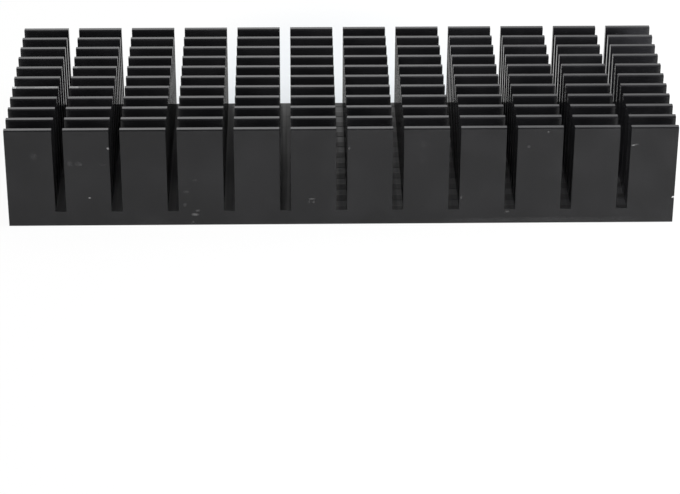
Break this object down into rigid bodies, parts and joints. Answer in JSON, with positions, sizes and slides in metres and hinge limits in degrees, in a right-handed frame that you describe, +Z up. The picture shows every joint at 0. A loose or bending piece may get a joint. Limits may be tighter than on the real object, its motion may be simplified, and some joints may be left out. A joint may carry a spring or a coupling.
{
  "type": "extruded heat sink",
  "caption": "Black anodised heat sink bar: straight extruded fins on a flat base, sawn across into rows of flat pins.",
  "frame": {"origin": "middle of the flat underside", "axes": "+X along the fins, the length of the bar; +Y across the fins, away from the viewer; +Z up, from the base to the fin tips"},
  "size_m": [0.15, 0.055, 0.024],
  "materials": {
    "anodised": "black anodised: satin on the extruded faces, dull on the sawn ones"
  },
  "bodies": {
    "root": {"heat_sink": "anodised"}
  },
  "joints": []
}
